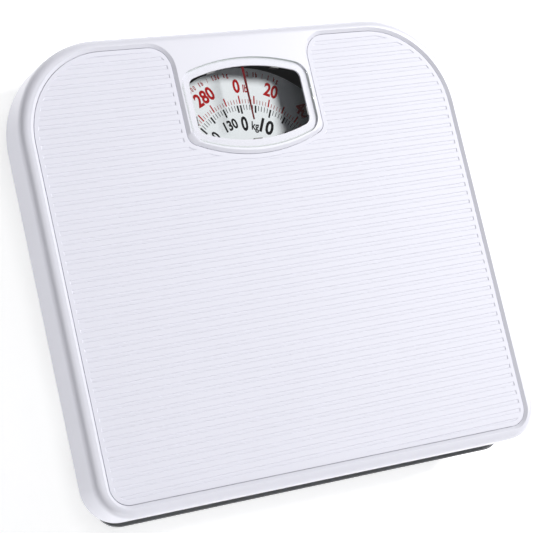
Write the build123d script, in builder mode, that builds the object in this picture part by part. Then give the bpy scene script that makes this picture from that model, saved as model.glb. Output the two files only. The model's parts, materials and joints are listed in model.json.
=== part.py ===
from build123d import *

import os
from math import asin, atan2, cos, degrees, hypot, pi, radians, sin, sqrt, tan

# Mechanical dial platform scale.
# Frame: +X to the right, +Y towards the dial end, +Z up.
# Origin: middle of the footprint, on the floor. All sizes are in millimetres.

# ---------------------------------------------------------------- overall
cover_width = 269.0
cover_depth = 245.0
mat_plane_height = 50.0
rim_rise = 1.0
skirt_height = 20.5
cover_sheet = 1.0
cover_edge_radius = 4.5
cover_rear_radius = 52.0
cover_front_radius = 19.0

# ---------------------------------------------------------------- ribbed mat
mat_side_margin = 7.9
mat_front_margin = 6.7
mat_rear_margin = 7.0
mat_rear_radius_drop = 6.5
mat_front_radius_drop = 9.0
mat_thickness = 1.4
mat_gap = 0.3
rim_slope_width = 1.8
rim_slope_drop = 1.1
rib_pitch = 5.0
rib_gap = 2.4
rib_height = 0.3
rib_draft = 55.0
rib_border = 2.2
rib_skew = 0.95

# ---------------------------------------------------------------- dial housing, between the mat's ears
housing_width = 83.8
housing_ear_radius = 12.0
housing_foot_radius = 6.0
housing_arc_radius = 93.0
housing_front_gap = 8.0

# ---------------------------------------------------------------- window, lens and pointer
window_width = 68.4
window_depth = 41.1
window_rear_arc = 104.6
window_front_arc = 91.7
window_corner_radius = 5.0
window_apex_radius = 58.7
lens_flange = 4.5
lens_thickness = 1.6
lens_seat_depth = 1.0
lens_gap = 0.15
lens_edge_radius = 0.6
pointer_width = 0.8
pointer_thickness = 0.25
pointer_rear_gap = 0.6
pointer_length = 29.5
clip_width = 5.0
clip_thickness = 0.6
clip_reach = 2.6
clip_corner_gap = 0.5
clip_rear_x = 19.8

# ---------------------------------------------------------------- base pan
base_side_inset = 8.0
base_lip_proud = 2.0
base_rear_radius = 46.0
base_front_radius = 14.0
base_sheet = 0.8
base_floor_height = 8.0
base_wall_top = 34.0
base_lip_height = 24.5
base_lip_width = 5.0
base_lip_depth = 1.6
base_lip_round = 0.7
base_draft = 1.5
base_floor_radius = 1.6
bead_x = 50.0
bead_y = -10.0
bead_length = 150.0
bead_width = 10.0
bead_height = 1.2

# ---------------------------------------------------------------- feet
foot_radius = 13.0
foot_height = 8.0
foot_edge_radius = 1.5
foot_side_inset = 19.0
foot_front_inset = 34.5
foot_rear_side_inset = 21.5
foot_rear_inset = 39.5
foot_rivet_radius = 1.5
foot_rivet_head = 3.0
rivet_head_height = 1.0
rivet_head_draft = 20.0
foot_recess_radius = 5.0
foot_recess_depth = 2.0

# ---------------------------------------------------------------- lever system
platform_travel = 0.8
fulcrum_x_inset = 42.5
fulcrum_y_inset = 30.5
fulcrum_height = 21.0
load_arm = 22.0
pin_radius = 2.0
pin_running_gap = 0.05
pin_length = 18.0
load_gap = 0.3
lever_thickness = 3.0
lever_heel = 6.0
lever_root_height = 10.0
lever_nose_height = 5.0
lever_nose_rise = 1.0
long_nose_x = 12.0
lever_toe = 4.0
lever_corner_radius = 1.0
short_tab_gap = 0.4
short_tab_height = 2.0
short_tab_width = 9.0
bracket_sheet = 1.2
bracket_depth = 12.0
bracket_foot_depth = 16.0
bracket_ear_span = 12.0
bracket_ear_rise = 3.0
load_ear_span = 15.0
load_ear_drop = 3.5
bracket_rivet_edge = 2.4
bracket_rivet_radius = 1.6
bracket_rivet_height = 0.8

# ---------------------------------------------------------------- zero wheel, spring and nose plate
wheel_radius = 9.0
wheel_thickness = 3.5
wheel_edge_margin = 0.5
wheel_knurls = 36
knurl_radius = 0.35
wheel_lip_gap = 0.7
wheel_slot_width = 17.0
wheel_slot_gap = 1.0
stem_radius = 2.0
spring_to_wheel = 17.0
hanger_sheet = 1.6
hanger_half_width = 4.0
hanger_tip = 4.5
hanger_height = 34.6
spring_wire_radius = 0.7
spring_mean_radius = 5.3
spring_pitch = 1.8
spring_turns = 4
hook_hole_gap = 0.5
plate_half_width = 18.0
plate_rear = 6.0
plate_thickness = 1.5
plate_nose_gap = 0.3
zero_shelf_half_width = 11.0
zero_shelf_front = 7.0
zero_shelf_rear = 2.8

# ---------------------------------------------------------------- bell crank, rack and dial
crank_to_spring = 17.0
crank_height = 17.0
crank_out_arm = 6.5
crank_sheet = 1.5
crank_x = 3.0
crank_pin_radius = 1.0
crank_bracket_gap = 0.4
crank_slot_gap = 0.5
crank_boss_radius = 3.4
crank_pin_proud = 0.4
lug_wall = 1.2
lug_slot_play = 1.2
cheek_half_depth = 4.0
cheek_cap = 2.0
dial_to_crank = 38.0
pinion_teeth = 12
gear_module = 0.5
pressure_angle = 25.0
gear_backlash = 0.12
tooth_depth_share = 0.9
tooth_foot_depth = 0.4
flank_steps = 4
root_clearance = 0.15
gear_thickness = 2.6
gear_height = 31.0
rack_width = 3.0
rack_turns = 1.0
rack_end_margin = 4.0
rack_tail_reach = 5.2
rack_tail_teeth = 4
shaft_radius = 1.5
shaft_running_gap = 0.03
shaft_tail = 6.0
dial_radius = 61.0
dial_sheet = 0.8
dial_height = 38.0
hub_radius = 6.0
hub_height = 1.6
hub_edge_radius = 0.5
bridge_sheet = 1.2
bridge_half_width = 18.0
bridge_half_depth = 12.0
bridge_top = 35.2
bridge_foot = 7.0
bridge_web_gap = 1.2
bush_radius = 3.0
bush_flange = 1.0
screw_head_radius = 2.6
screw_head_height = 1.4
screw_edge_radius = 0.45

# ---------------------------------------------------------------- retaining and rack springs
tie_x_inset = 24.5
tie_wire_radius = 0.45
tie_mean_radius = 3.2
tie_hook_height = 4.0
tie_hook_sheet = 1.2
tie_hook_width = 6.0
tie_pitch = 1.6
tie_coil_share = 0.6
rack_spring_length = 38.0
rack_spring_mean_radius = 1.8
rack_spring_wire_radius = 0.35
rack_coil_share = 0.7
rack_coil_pitch = 1.0
anchor_width = 8.0
anchor_rise = 2.4

# ---------------------------------------------------------------- helpers for selecting and cutting
tiny = 0.01
through = 4.0

# ---------------------------------------------------------------- heights and places that follow
rim_top = mat_plane_height + rim_rise
skirt_bottom = rim_top - skirt_height
recess_floor = mat_plane_height - mat_thickness
cover_half_width = cover_width / 2
cover_half_depth = cover_depth / 2
base_half_width = cover_half_width - base_side_inset
base_half_depth = cover_half_depth + base_lip_proud
floor_top = base_floor_height + base_sheet

wheel_bottom = base_lip_height + wheel_lip_gap
wheel_y = base_half_depth - wheel_edge_margin - wheel_radius
spring_y = wheel_y - spring_to_wheel
crank_y = spring_y - crank_to_spring
dial_y = crank_y - dial_to_crank
window_apex_y = dial_y + window_apex_radius

fulcrum_x = cover_half_width - fulcrum_x_inset
fulcrum_y = cover_half_depth - fulcrum_y_inset
nose_arm = spring_y + fulcrum_y
nose_travel = platform_travel * nose_arm / load_arm
crank_half_angle = asin(nose_travel / 2 / crank_out_arm)
pinion_pitch_radius = gear_module * pinion_teeth / 2
rack_travel = 2 * pi * pinion_pitch_radius * rack_turns
crank_up_arm = rack_travel / 2 / sin(crank_half_angle)
load_y = fulcrum_y - load_arm
long_slope = (long_nose_x - fulcrum_x) / nose_arm
long_load_x = fulcrum_x + long_slope * load_arm
link_x = fulcrum_x + long_slope * fulcrum_y
short_nose_x = link_x + short_tab_width
short_load_x = fulcrum_x + (short_nose_x - fulcrum_x) * load_arm / fulcrum_y
lever_nose_bottom = fulcrum_height + lever_nose_rise - lever_nose_height / 2
plate_top = lever_nose_bottom - plate_nose_gap


# ================================================================ outlines
def rounded_outline(half_width, half_depth, rear_radius, front_radius):
    """A rectangle with large rear corners and small front ones."""
    with BuildSketch() as outline:
        Rectangle(2 * half_width, 2 * half_depth)
        corners = outline.vertices().group_by(Axis.Y)
        fillet(corners[-1], rear_radius)
        front = outline.vertices().filter_by(lambda v: v.Y < -half_depth + tiny)
        fillet(front, front_radius)
    return outline.sketch


def cover_outline(inset):
    return rounded_outline(
        cover_half_width - inset,
        cover_half_depth - inset,
        cover_rear_radius - inset,
        cover_front_radius - inset,
    )


def base_outline(inset):
    return rounded_outline(
        base_half_width - inset,
        base_half_depth - inset,
        base_rear_radius - inset,
        base_front_radius - inset,
    )


def mat_outline(grow):
    """The mat: a rounded sheet with a bay cut into its rear edge for the dial housing."""
    half_width = cover_half_width - mat_side_margin + grow
    rear = cover_half_depth - mat_rear_margin + grow
    front = -cover_half_depth + mat_front_margin - grow
    bay_half = housing_width / 2 - grow
    bay_arc = housing_arc_radius - grow
    bay_front = window_apex_y - window_depth - housing_front_gap
    arc_centre = bay_front + housing_arc_radius
    with BuildSketch() as bay:
        with Locations((0, (rear + front) / 2)):
            Rectangle(2 * bay_half, rear - front)
        with Locations((0, arc_centre)):
            Circle(bay_arc, mode=Mode.INTERSECT)
        fillet(bay.vertices().group_by(Axis.Y)[0], housing_foot_radius)
    with BuildSketch() as outline:
        with Locations((0, (rear + front) / 2)):
            Rectangle(2 * half_width, rear - front)
        fillet(outline.vertices().group_by(Axis.Y)[-1], cover_rear_radius - mat_rear_radius_drop + grow)
        fillet(outline.vertices().group_by(Axis.Y)[0], cover_front_radius - mat_front_radius_drop + grow)
        add(bay.sketch, mode=Mode.SUBTRACT)
        ears = outline.vertices().filter_by(lambda v: v.Y > rear - tiny and abs(v.X) < bay_half + tiny)
        fillet(ears, housing_ear_radius + grow)
    return outline.sketch


def window_outline(grow):
    """The dial window: straight sides, with long arcs at its rear and its front."""
    rear_centre = window_apex_y - window_rear_arc
    front_centre = window_apex_y - window_depth + window_front_arc
    with BuildSketch() as outline:
        with Locations((0, window_apex_y - window_depth / 2)):
            Rectangle(window_width + 2 * grow, window_depth + 2 * grow)
        with Locations((0, rear_centre)):
            Circle(window_rear_arc + grow, mode=Mode.INTERSECT)
        with Locations((0, front_centre)):
            Circle(window_front_arc + grow, mode=Mode.INTERSECT)
        sides = outline.vertices().filter_by(lambda v: abs(v.X) > tiny)
        fillet(sides, window_corner_radius + grow)
    return outline.sketch


# ================================================================ platform cover
def rim_slope(grow, top):
    """The space over the rim's inner slope, which falls from the crest towards the mat."""
    with BuildPart() as slope:
        with BuildSketch(Plane.XY.offset(top - rim_slope_drop)):
            add(mat_outline(mat_gap + grow))
        with BuildSketch(Plane.XY.offset(top)):
            add(mat_outline(mat_gap + grow + rim_slope_width))
        loft(ruled=True)
    return slope.part


# One pressed sheet: the rim, the mat's recess and the lens seat all keep the sheet's thickness.
with BuildPart() as cover_hollow:
    with BuildSketch(Plane.XY.offset(skirt_bottom - cover_sheet)):
        add(cover_outline(cover_sheet))
    extrude(amount=rim_top - skirt_bottom)
    fillet(cover_hollow.faces().sort_by(Axis.Z)[-1].edges(), cover_edge_radius - cover_sheet)
    with BuildSketch(Plane.XY.offset(recess_floor - cover_sheet)):
        add(mat_outline(mat_gap + cover_sheet))
    extrude(amount=rim_top - recess_floor, mode=Mode.SUBTRACT)
    add(rim_slope(cover_sheet, rim_top - cover_sheet), mode=Mode.SUBTRACT)
    with BuildSketch(Plane.XY.offset(rim_top - lens_seat_depth - cover_sheet)):
        add(window_outline(lens_flange + lens_gap + cover_sheet))
    extrude(amount=rim_top, mode=Mode.SUBTRACT)

with BuildPart() as platform_cover:
    with BuildSketch(Plane.XY.offset(skirt_bottom)):
        add(cover_outline(0))
    extrude(amount=skirt_height)
    fillet(platform_cover.faces().sort_by(Axis.Z)[-1].edges(), cover_edge_radius)
    with BuildSketch(Plane.XY.offset(rim_top)):
        add(mat_outline(mat_gap))
    extrude(amount=recess_floor - rim_top, mode=Mode.SUBTRACT)
    add(rim_slope(0, rim_top), mode=Mode.SUBTRACT)
    with BuildSketch(Plane.XY.offset(rim_top)):
        add(window_outline(lens_flange + lens_gap))
    extrude(amount=-lens_seat_depth, mode=Mode.SUBTRACT)
    with BuildSketch(Plane.XY.offset(rim_top)):
        add(window_outline(0))
    extrude(amount=-skirt_height, mode=Mode.SUBTRACT)
    add(cover_hollow.part, mode=Mode.SUBTRACT)

# ================================================================ ribbed mat
# Shallow grooves with sloping walls leave the ribs; they stop short of the mat's edge.
rib_run = rib_height * tan(radians(rib_draft))
with BuildPart() as rib_field:
    with BuildSketch(Plane.XY.offset(mat_plane_height - rib_height)):
        add(mat_outline(-rib_border - rib_run))
    with BuildSketch(Plane.XY.offset(mat_plane_height)):
        add(mat_outline(-rib_border))
    loft(ruled=True)

with BuildPart() as rib_grooves:
    with BuildSketch(Plane.XY.offset(mat_plane_height)):
        with Locations(Location((0, 0, 0), (0, 0, rib_skew))):
            with GridLocations(0, rib_pitch, 1, int(cover_depth / rib_pitch)):
                Rectangle(cover_width, rib_gap)
    extrude(amount=-rib_height, taper=rib_draft)
    add(rib_field.part, mode=Mode.INTERSECT)

with BuildPart() as ribbed_mat:
    with BuildSketch(Plane.XY.offset(recess_floor)):
        add(mat_outline(0))
    extrude(amount=mat_thickness)
    add(rib_grooves.part, mode=Mode.SUBTRACT)

# ================================================================ lens, pointer and lens clips
lens_bottom = rim_top - lens_seat_depth
with BuildPart() as lens:
    with BuildSketch(Plane.XY.offset(lens_bottom)):
        add(window_outline(lens_flange))
    extrude(amount=lens_thickness)
    fillet(lens.faces().sort_by(Axis.Z)[-1].edges(), lens_edge_radius)

with BuildPart() as pointer:
    with BuildSketch(Plane.XY.offset(lens_bottom)):
        with Locations((0, window_apex_y - pointer_rear_gap - pointer_length / 2)):
            Rectangle(pointer_width, pointer_length)
    extrude(amount=-pointer_thickness)

# The side clips stand just behind the window's rounded front corners.
corner_reach = window_front_arc - window_corner_radius
corner_y = (
    window_apex_y - window_depth + window_front_arc
    - sqrt(corner_reach**2 - (window_width / 2 - window_corner_radius) ** 2)
)
clip_side_y = corner_y + clip_corner_gap + clip_width / 2
clip_rear_y = window_apex_y - window_rear_arc + sqrt(window_rear_arc**2 - clip_rear_x**2)
clip_lean = degrees(asin(clip_rear_x / window_rear_arc))
clip_places = [
    Location((clip_rear_x, clip_rear_y, lens_bottom), (0, 0, -clip_lean)),
    Location((-clip_rear_x, clip_rear_y, lens_bottom), (0, 0, clip_lean)),
    Location((0, window_apex_y - window_depth, lens_bottom), (0, 0, 180)),
    Location((-window_width / 2, clip_side_y, lens_bottom), (0, 0, 90)),
    Location((window_width / 2, clip_side_y, lens_bottom), (0, 0, -90)),
]
# Each clip is a leg that hangs through the window's edge with a barb under the cover sheet.
with BuildPart() as lens_clips:
    for place in clip_places:
        with Locations(place * Pos(0, -clip_thickness / 2 - lens_gap, -clip_reach / 2)):
            Box(clip_width, clip_thickness, clip_reach)
        with Locations(place * Pos(0, 0, -clip_reach + clip_thickness / 2)):
            Box(clip_width, 2 * clip_thickness, clip_thickness)

# ================================================================ base pan
# A pressed tray: its wall stands up inside the cover's skirt, and a hemmed ledge runs round it.
with BuildPart() as tray_hollow:
    with BuildSketch(Plane.XY.offset(base_wall_top)):
        add(base_outline(base_lip_width))
    extrude(amount=floor_top - base_wall_top, taper=base_draft)
    fillet(tray_hollow.faces().sort_by(Axis.Z)[0].edges(), base_floor_radius - base_sheet)

with BuildPart() as base_tray:
    with BuildSketch(Plane.XY.offset(base_wall_top)):
        add(base_outline(base_lip_width - base_sheet))
    extrude(amount=base_floor_height - base_wall_top, taper=base_draft)
    fillet(base_tray.faces().sort_by(Axis.Z)[0].edges(), base_floor_radius)
    add(tray_hollow.part, mode=Mode.SUBTRACT)

with BuildPart() as base_ledge:
    with BuildSketch(Plane.XY.offset(base_lip_height - base_lip_depth)):
        add(base_outline(0))
        add(base_outline(base_lip_width), mode=Mode.SUBTRACT)
    extrude(amount=base_lip_depth)
    outer_edges = base_ledge.faces().sort_by(Axis.Z)[-1].outer_wire().edges()
    fillet(outer_edges, base_lip_round)
    lower_edges = base_ledge.faces().sort_by(Axis.Z)[0].outer_wire().edges()
    fillet(lower_edges, base_lip_round)

foot_places = {
    "front_left": (-base_half_width + foot_side_inset, -base_half_depth + foot_front_inset),
    "front_right": (base_half_width - foot_side_inset, -base_half_depth + foot_front_inset),
    "rear_left": (-base_half_width + foot_rear_side_inset, base_half_depth - foot_rear_inset),
    "rear_right": (base_half_width - foot_rear_side_inset, base_half_depth - foot_rear_inset),
}

with BuildPart() as base_pan:
    add(base_tray.part)
    add(base_ledge.part)
    with Locations(*[(x, y, base_floor_height) for x, y in foot_places.values()]):
        Cylinder(foot_rivet_radius, through * base_sheet, mode=Mode.SUBTRACT)
    with Locations((0, base_half_depth - base_lip_width, wheel_bottom + wheel_thickness / 2)):
        Box(wheel_slot_width, 2 * base_lip_width, wheel_thickness + wheel_slot_gap, mode=Mode.SUBTRACT)
    # Two pressed beads stiffen the floor: each stands up inside and is hollow below.
    with BuildSketch(Plane.XY.offset(floor_top)):
        with Locations((-bead_x, bead_y), (bead_x, bead_y)):
            SlotOverall(bead_length, bead_width, rotation=90)
    extrude(amount=bead_height)
    with BuildSketch(Plane.XY.offset(base_floor_height)):
        with Locations((-bead_x, bead_y), (bead_x, bead_y)):
            SlotOverall(bead_length - 2 * base_sheet, bead_width - 2 * base_sheet, rotation=90)
    extrude(amount=bead_height, mode=Mode.SUBTRACT)

# ================================================================ feet
feet = {}
for corner, (x, y) in foot_places.items():
    with BuildPart() as foot:
        with BuildSketch(Plane.XY):
            with Locations((x, y)):
                Circle(foot_radius)
        extrude(amount=foot_height)
        fillet(foot.faces().sort_by(Axis.Z)[0].edges(), foot_edge_radius)
        with BuildSketch(Plane.XY):
            with Locations((x, y)):
                Circle(foot_recess_radius)
        extrude(amount=foot_recess_depth, mode=Mode.SUBTRACT)
        with BuildSketch(Plane.XY):
            with Locations((x, y)):
                Circle(foot_rivet_radius)
        extrude(amount=foot_height, mode=Mode.SUBTRACT)
    feet[corner] = foot.part

# Each foot rivet has a shank through the foot and the pan, with a head at both ends.
with BuildPart() as foot_rivets:
    for x, y in foot_places.values():
        with BuildSketch(Plane.XY.offset(foot_recess_depth)):
            with Locations((x, y)):
                Circle(foot_rivet_radius)
        extrude(amount=floor_top - foot_recess_depth)
        with BuildSketch(Plane.XY.offset(floor_top)):
            with Locations((x, y)):
                Circle(foot_rivet_head)
        extrude(amount=rivet_head_height, taper=rivet_head_draft)
        with BuildSketch(Plane.XY.offset(foot_recess_depth)):
            with Locations((x, y)):
                Circle(foot_rivet_head)
        extrude(amount=-rivet_head_height)

# ================================================================ fulcrum and load brackets
corner_signs = {"front_left": (-1, -1), "front_right": (1, -1), "rear_left": (-1, 1), "rear_right": (1, 1)}


def ear_profile(y, pivot_z, far_z, open_z, slot_radius):
    """An ear in the YZ plane, from far_z past the pivot, with a round-bottomed slot open towards open_z."""
    with BuildSketch() as ear:
        with Locations((y, (far_z + open_z) / 2)):
            Rectangle(bracket_depth, abs(open_z - far_z))
        with Locations((y, pivot_z)):
            Circle(slot_radius, mode=Mode.SUBTRACT)
        with Locations((y, (pivot_z + open_z) / 2)):
            Rectangle(2 * slot_radius, abs(open_z - pivot_z), mode=Mode.SUBTRACT)
    return ear.sketch


fulcrum_brackets = {}
for corner, (side, end) in corner_signs.items():
    x = side * fulcrum_x
    y = end * fulcrum_y
    with BuildPart() as fulcrum_bracket:
        with BuildSketch(Plane.XY.offset(floor_top)):
            with Locations((x, y)):
                Rectangle(bracket_ear_span + 2 * bracket_sheet, bracket_foot_depth)
        extrude(amount=bracket_sheet)
        for ear_x in (x - bracket_ear_span / 2 - bracket_sheet, x + bracket_ear_span / 2):
            with BuildSketch(Plane.YZ.offset(ear_x)):
                add(ear_profile(y, fulcrum_height, floor_top, fulcrum_height + bracket_ear_rise,
                                pin_radius + pin_running_gap))
            extrude(amount=bracket_sheet)
    fulcrum_brackets[corner] = fulcrum_bracket.part

load_brackets = {}
for corner, (side, end) in corner_signs.items():
    x = side * (long_load_x if end < 0 else short_load_x)
    y = end * load_y
    with BuildPart() as load_bracket:
        with BuildSketch(Plane.XY.offset(recess_floor - cover_sheet)):
            with Locations((x, y)):
                Rectangle(load_ear_span + 2 * bracket_sheet, bracket_foot_depth)
        extrude(amount=-bracket_sheet)
        for ear_x in (x - load_ear_span / 2 - bracket_sheet, x + load_ear_span / 2):
            with BuildSketch(Plane.YZ.offset(ear_x)):
                add(ear_profile(y, fulcrum_height, recess_floor - cover_sheet,
                                fulcrum_height - load_ear_drop, pin_radius + load_gap))
            extrude(amount=bracket_sheet)
    load_brackets[corner] = load_bracket.part

# Rivets that hold the fulcrum brackets to the pan, one ahead of each lever and one behind.
rivet_offset = bracket_foot_depth / 2 - bracket_rivet_edge
with BuildPart() as bracket_rivets:
    for side, end in corner_signs.values():
        for shift in (-rivet_offset, rivet_offset):
            with BuildSketch(Plane.XY.offset(floor_top + bracket_sheet)):
                with Locations((side * fulcrum_x, end * fulcrum_y + shift)):
                    Circle(bracket_rivet_radius)
            extrude(amount=bracket_rivet_height, taper=rivet_head_draft)


# ================================================================ levers
def lever_bar(start, finish):
    """A bar on edge from the fulcrum point to the nose point, tall at its root and low at its nose."""
    run_x = finish[0] - start[0]
    run_y = finish[1] - start[1]
    length = hypot(run_x, run_y)
    bar_plane = Plane(
        origin=(start[0], start[1], 0),
        x_dir=(run_x / length, run_y / length, 0),
        z_dir=(run_y / length, -run_x / length, 0),
    )
    root_bottom = fulcrum_height - lever_root_height / 2
    root_top = fulcrum_height + lever_root_height / 2
    root_end = load_arm * length / abs(run_y) + lever_heel
    with BuildPart() as bar:
        with BuildSketch(bar_plane):
            with BuildLine():
                Polyline(
                    (-lever_heel, root_bottom),
                    (root_end, root_bottom),
                    (length + lever_toe, lever_nose_bottom),
                    (length + lever_toe, lever_nose_bottom + lever_nose_height),
                    (root_end, root_top),
                    (-lever_heel, root_top),
                    close=True,
                )
            make_face()
        extrude(amount=lever_thickness / 2, both=True)
        fillet(bar.edges().filter_by(lambda e: abs(e.length - lever_thickness) < tiny), lever_corner_radius)
    return bar.part


def lever_pins(places):
    """Round pins along X at the fulcrum's height."""
    with BuildPart() as pins:
        for x, y in places:
            with BuildSketch(Plane.YZ.offset(x - pin_length / 2)):
                with Locations((y, fulcrum_height)):
                    Circle(pin_radius)
            extrude(amount=pin_length)
    return pins.part


# The short levers meet the long ones on the X axis, where both drop by the same amount.
long_length = hypot(long_nose_x - fulcrum_x, nose_arm)
long_root_end = load_arm * long_length / nose_arm + lever_heel
link_share = (fulcrum_y * long_length / nose_arm - long_root_end) / (long_length + lever_toe - long_root_end)
root_top = fulcrum_height + lever_root_height / 2
nose_top = lever_nose_bottom + lever_nose_height
link_top = root_top + (nose_top - root_top) * link_share
tab_bottom = link_top + short_tab_gap
levers = {}
for name, side in (("left", -1), ("right", 1)):
    long_pins = lever_pins([(side * fulcrum_x, -fulcrum_y), (side * long_load_x, -load_y)])
    with BuildPart() as long_lever:
        add(lever_bar((side * fulcrum_x, -fulcrum_y), (side * long_nose_x, spring_y)))
        add(long_pins, mode=Mode.SUBTRACT)
    levers["long_lever_" + name] = long_lever.part
    levers["long_lever_pins_" + name] = long_pins

    short_pins = lever_pins([(side * fulcrum_x, fulcrum_y), (side * short_load_x, load_y)])
    with BuildPart() as short_lever:
        add(lever_bar((side * fulcrum_x, fulcrum_y), (side * short_nose_x, 0)))
        add(short_pins, mode=Mode.SUBTRACT)
        with BuildSketch(Plane.XY.offset(tab_bottom)):
            with Locations((side * (link_x + short_tab_width / 2), 0)):
                Rectangle(short_tab_width + 2 * lever_thickness, short_tab_width)
        extrude(amount=short_tab_height)
        with BuildSketch(Plane.XY.offset(lever_nose_bottom + lever_nose_height / 2)):
            with Locations((side * short_nose_x, 0)):
                Rectangle(lever_thickness, short_tab_width)
        extrude(amount=tab_bottom - lever_nose_bottom - lever_nose_height / 2)
    levers["short_lever_" + name] = short_lever.part
    levers["short_lever_pins_" + name] = short_pins

# ================================================================ zero wheel, its shelf and the spring hanger
with BuildPart() as zero_wheel:
    with BuildSketch(Plane.XY.offset(wheel_bottom)):
        with Locations((0, wheel_y)):
            Circle(wheel_radius)
            Circle(stem_radius + pin_running_gap, mode=Mode.SUBTRACT)
            with PolarLocations(wheel_radius, wheel_knurls):
                Circle(knurl_radius, mode=Mode.SUBTRACT)
    extrude(amount=wheel_thickness)

shelf_top = wheel_bottom - wheel_lip_gap / 2
with BuildPart() as zero_shelf:
    with BuildSketch(Plane.XZ.offset(-wheel_y - zero_shelf_rear)):
        with BuildLine():
            Polyline(
                (-zero_shelf_half_width - bridge_foot, floor_top),
                (-zero_shelf_half_width, floor_top),
                (-zero_shelf_half_width, shelf_top - bracket_sheet),
                (zero_shelf_half_width, shelf_top - bracket_sheet),
                (zero_shelf_half_width, floor_top),
                (zero_shelf_half_width + bridge_foot, floor_top),
                (zero_shelf_half_width + bridge_foot, floor_top + bracket_sheet),
                (zero_shelf_half_width + bracket_sheet, floor_top + bracket_sheet),
                (zero_shelf_half_width + bracket_sheet, shelf_top),
                (-zero_shelf_half_width - bracket_sheet, shelf_top),
                (-zero_shelf_half_width - bracket_sheet, floor_top + bracket_sheet),
                (-zero_shelf_half_width - bridge_foot, floor_top + bracket_sheet),
                close=True,
            )
        make_face()
    extrude(amount=zero_shelf_front + zero_shelf_rear)
    with Locations((0, wheel_y, shelf_top)):
        Cylinder(stem_radius, through * bracket_sheet, mode=Mode.SUBTRACT)

# The hanger's stem stands in the shelf and carries the wheel; its arm reaches forward over the spring.
with BuildPart() as spring_hanger:
    with BuildSketch(Plane.XY.offset(shelf_top - bracket_sheet)):
        with Locations((0, wheel_y)):
            Circle(stem_radius)
    extrude(amount=hanger_height - shelf_top + bracket_sheet)
    with BuildSketch(Plane.XY.offset(hanger_height)):
        with Locations((0, (wheel_y + stem_radius + spring_y - hanger_tip) / 2)):
            Rectangle(2 * hanger_half_width, wheel_y + stem_radius - spring_y + hanger_tip)
        with Locations((0, spring_y)):
            Circle(spring_wire_radius, mode=Mode.SUBTRACT)
    extrude(amount=hanger_sheet)


# ================================================================ springs
def coil(radius, wire_radius, pitch, height):
    """A helical coil about +Z that starts at z 0, with each end brought to the axis."""
    helix = Helix(pitch=pitch, height=height, radius=radius)
    with BuildPart() as turns:
        with BuildSketch(Plane(origin=helix @ 0, z_dir=helix % 0)):
            Circle(wire_radius)
        sweep(path=helix)
        for z in (0, height):
            with BuildSketch(Plane.YZ):
                with Locations((0, z)):
                    Circle(wire_radius)
            extrude(amount=radius)
    return turns.part


spring_height = spring_pitch * spring_turns
spring_start = (plate_top + hanger_height) / 2 - spring_height / 2 + lever_nose_height / 2
with BuildPart() as main_spring:
    with Locations((0, spring_y, spring_start)):
        add(coil(spring_mean_radius, spring_wire_radius, spring_pitch, spring_height))
    with BuildSketch(Plane.XY.offset(spring_start + spring_height)):
        with Locations((0, spring_y)):
            Circle(spring_wire_radius)
    extrude(amount=hanger_height + hanger_sheet - spring_start - spring_height)
    with BuildSketch(Plane.XY.offset(spring_start)):
        with Locations((0, spring_y)):
            Circle(spring_wire_radius)
    extrude(amount=plate_top - plate_thickness - spring_start)

# ================================================================ nose plate
lug_y = crank_y + crank_out_arm
lug_height = crank_height + crank_out_arm * sin(crank_half_angle)
lug_x = crank_x + crank_sheet + crank_slot_gap
lug_slot = crank_pin_radius + crank_slot_gap
plate_front_y = lug_y + lug_slot + lug_wall
with BuildPart() as nose_plate:
    with BuildSketch(Plane.XY.offset(plate_top)):
        with Locations((0, (plate_front_y + spring_y + plate_rear) / 2)):
            Rectangle(2 * plate_half_width, spring_y + plate_rear - plate_front_y)
        with Locations((0, spring_y)):
            Circle(spring_wire_radius + hook_hole_gap, mode=Mode.SUBTRACT)
    extrude(amount=-plate_thickness)
    with BuildSketch(Plane.YZ.offset(lug_x)):
        with Locations((lug_y, lug_height)):
            SlotOverall(2 * lug_slot + 2 * lug_wall + lug_slot_play, 2 * lug_slot + 2 * lug_wall)
        with Locations(((lug_y + plate_front_y) / 2 + lug_wall, plate_top - plate_thickness / 2)):
            Rectangle(plate_front_y - lug_y + 2 * lug_wall, plate_thickness)
        with Locations((lug_y, lug_height)):
            SlotOverall(2 * lug_slot + lug_slot_play, 2 * lug_slot, mode=Mode.SUBTRACT)
    extrude(amount=crank_sheet)


# ================================================================ bell crank
def arm_end(length, angle):
    """The place in the YZ plane of the end of a crank arm."""
    return (crank_y + length * cos(angle), crank_height + length * sin(angle))


out_end = arm_end(crank_out_arm, crank_half_angle)
up_end = arm_end(crank_up_arm, pi / 2 + crank_half_angle)
with BuildPart() as bell_crank:
    with BuildSketch(Plane.YZ.offset(crank_x)):
        with Locations((crank_y, crank_height)):
            Circle(crank_boss_radius)
        with Locations(out_end):
            Circle(crank_pin_radius + lug_wall)
        with Locations(up_end):
            Circle(crank_pin_radius + lug_wall)
        for end in (out_end, up_end):
            with BuildLine():
                Line((crank_y, crank_height), end)
            trace(line_width=2 * (crank_pin_radius + lug_wall))
        with Locations((crank_y, crank_height)):
            Circle(crank_pin_radius + pin_running_gap, mode=Mode.SUBTRACT)
    extrude(amount=crank_sheet)

crank_pin_length = 2 * crank_slot_gap + crank_sheet + crank_pin_proud
with BuildPart() as crank_pins:
    with BuildSketch(Plane.YZ.offset(crank_x + crank_sheet)):
        with Locations(out_end, up_end):
            Circle(crank_pin_radius)
    extrude(amount=crank_pin_length)

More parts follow.
